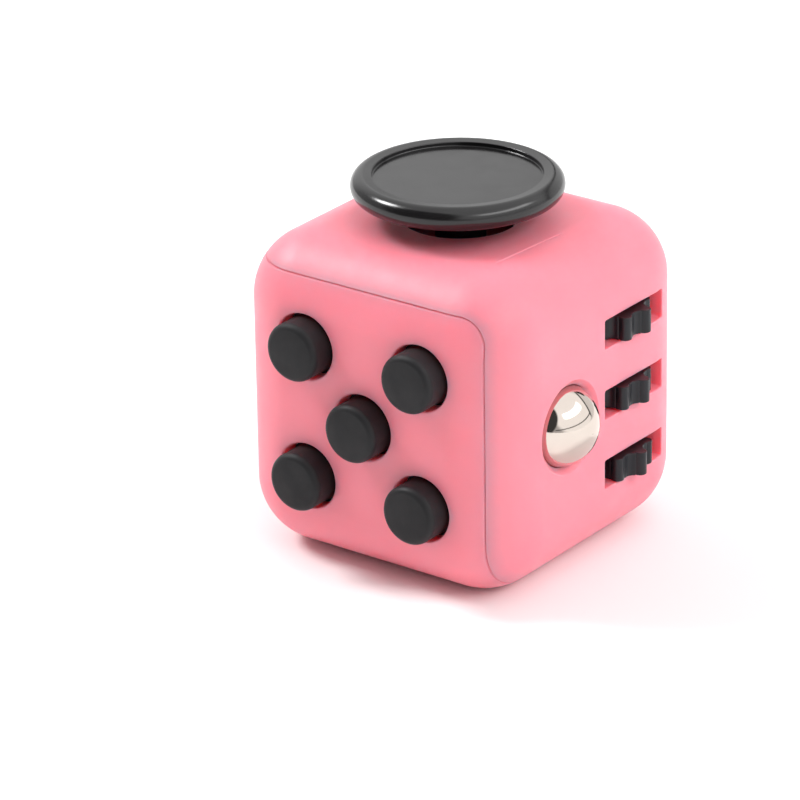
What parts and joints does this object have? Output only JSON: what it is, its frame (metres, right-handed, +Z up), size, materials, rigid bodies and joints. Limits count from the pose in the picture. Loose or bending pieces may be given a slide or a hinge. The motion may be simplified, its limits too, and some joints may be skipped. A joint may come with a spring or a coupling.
{
  "type": "fidget cube",
  "caption": "Rounded cube-shaped desk toy with push buttons, gliding joystick disc, rolling ball, toothed wheels, rocker switch, spin dial and a thumb dish.",
  "frame": {"origin": "centre of the underside's flat ring, the plane that the cube rests on", "axes": "+Z up towards the joystick disc, -Y towards the button face, +X towards the ball and wheel face"},
  "size_m": [0.0382, 0.0377, 0.0376],
  "materials": {
    "shell_pink": "satin moulded plastic, fine spark-eroded texture",
    "button_black": "matte, rubbery",
    "joystick_black": "satin with a smooth glossy rim",
    "wheel_black": "satin",
    "rocker_black": "satin",
    "dial_black": "satin",
    "ball_steel": "polished",
    "axle_steel": "ground",
    "spring_steel": "bright",
    "screw_steel": "zinc plated",
    "inner_plastic": "natural white",
    "silicone_pad": "translucent matte",
    "rubber_ring": "matte"
  },
  "bodies": {
    "shell": {"front_left_shell": "shell_pink", "top_right_back_shell": "shell_pink", "button_plate_posts": "shell_pink", "glide_posts": "shell_pink", "ball_sleeve": "shell_pink", "axle_saddles": "shell_pink", "housing_lugs": "shell_pink", "button_pad": "silicone_pad", "click_domes": "spring_steel", "button_back_plate": "inner_plastic", "button_plate_screws": "screw_steel", "centring_ring": "rubber_ring", "glide_retainer": "inner_plastic", "glide_screws": "screw_steel", "ball_spring": "spring_steel", "ball_spring_cap": "inner_plastic", "wheel_axle": "axle_steel", "axle_keeper": "inner_plastic", "wheel_click_spring_top": "spring_steel", "wheel_click_spring_middle": "spring_steel", "wheel_click_spring_bottom": "spring_steel", "rocker_pin": "axle_steel", "rocker_housing": "inner_plastic", "rocker_housing_screws": "screw_steel", "rocker_detent_spring": "spring_steel", "dial_click_spring": "spring_steel"},
    "button_upper_left": {"button_upper_left": "button_black"},
    "button_upper_right": {"button_upper_right": "button_black"},
    "button_centre": {"button_centre": "button_black"},
    "button_lower_left": {"button_lower_left": "button_black"},
    "button_lower_right": {"button_lower_right": "button_black"},
    "joystick_cross": {"joystick_cross_slider": "inner_plastic"},
    "joystick": {"joystick_cap": "joystick_black", "joystick_slider": "joystick_black"},
    "ball_carrier": {"ball_socket": "inner_plastic"},
    "ball": {"ball": "ball_steel"},
    "wheel_top": {"wheel_top": "wheel_black"},
    "wheel_middle": {"wheel_middle": "wheel_black"},
    "wheel_bottom": {"wheel_bottom": "wheel_black"},
    "rocker": {"rocker": "rocker_black"},
    "dial": {"dial_cap": "dial_black", "dial_ratchet": "inner_plastic", "dial_screw": "screw_steel"}
  },
  "joints": [
    {"name": "button_upper_left_press", "type": "slide", "parent": "shell", "child": "button_upper_left", "axis": [0, 1, 0], "range_m": [0, 0.0011], "stiffness_N_per_m": 400, "deforming": ["button_pad", "click_domes"]},
    {"name": "button_upper_right_press", "type": "slide", "parent": "shell", "child": "button_upper_right", "axis": [0, 1, 0], "range_m": [0, 0.0011], "stiffness_N_per_m": 400, "deforming": ["button_pad"]},
    {"name": "button_centre_press", "type": "slide", "parent": "shell", "child": "button_centre", "axis": [0, 1, 0], "range_m": [0, 0.0011], "stiffness_N_per_m": 400, "deforming": ["button_pad", "click_domes"]},
    {"name": "button_lower_left_press", "type": "slide", "parent": "shell", "child": "button_lower_left", "axis": [0, 1, 0], "range_m": [0, 0.0011], "stiffness_N_per_m": 400, "deforming": ["button_pad"]},
    {"name": "button_lower_right_press", "type": "slide", "parent": "shell", "child": "button_lower_right", "axis": [0, 1, 0], "range_m": [0, 0.0011], "stiffness_N_per_m": 400, "deforming": ["button_pad", "click_domes"]},
    {"name": "joystick_glide_x", "type": "slide", "parent": "shell", "child": "joystick_cross", "axis": [1, 0, 0], "range_m": [-0.002, 0.002], "stiffness_N_per_m": 250, "deforming": ["centring_ring"]},
    {"name": "joystick_glide_y", "type": "slide", "parent": "joystick_cross", "child": "joystick", "axis": [0, 1, 0], "range_m": [-0.002, 0.002], "stiffness_N_per_m": 250, "deforming": ["centring_ring"]},
    {"name": "ball_press", "type": "slide", "parent": "shell", "child": "ball_carrier", "axis": [-1, 0, 0], "range_m": [0, 0.0008], "stiffness_N_per_m": 500, "deforming": ["ball_spring"]},
    {"name": "ball_roll", "type": "hinge", "parent": "ball_carrier", "child": "ball", "pos_m": [0.0149, -0.005, 0.0165], "axis": [0, 0, 1], "continuous": true},
    {"name": "wheel_top_spin", "type": "hinge", "parent": "shell", "child": "wheel_top", "pos_m": [0.01375, 0.0058, 0.0239], "axis": [0, 0, 1], "continuous": true, "deforming": ["wheel_click_spring_top"]},
    {"name": "wheel_middle_spin", "type": "hinge", "parent": "shell", "child": "wheel_middle", "pos_m": [0.01375, 0.0058, 0.0165], "axis": [0, 0, 1], "continuous": true, "deforming": ["wheel_click_spring_middle"]},
    {"name": "wheel_bottom_spin", "type": "hinge", "parent": "shell", "child": "wheel_bottom", "pos_m": [0.01375, 0.0058, 0.0091], "axis": [0, 0, 1], "continuous": true, "deforming": ["wheel_click_spring_bottom"]},
    {"name": "rocker_flip", "type": "hinge", "parent": "shell", "child": "rocker", "pos_m": [0, 0.0126, 0.0165], "axis": [1, 0, 0], "range_deg": [0, 20], "deforming": ["rocker_detent_spring"]},
    {"name": "dial_spin", "type": "hinge", "parent": "shell", "child": "dial", "pos_m": [-0.0165, 0, 0.0165], "axis": [-1, 0, 0], "continuous": true, "deforming": ["dial_click_spring"]}
  ]
}
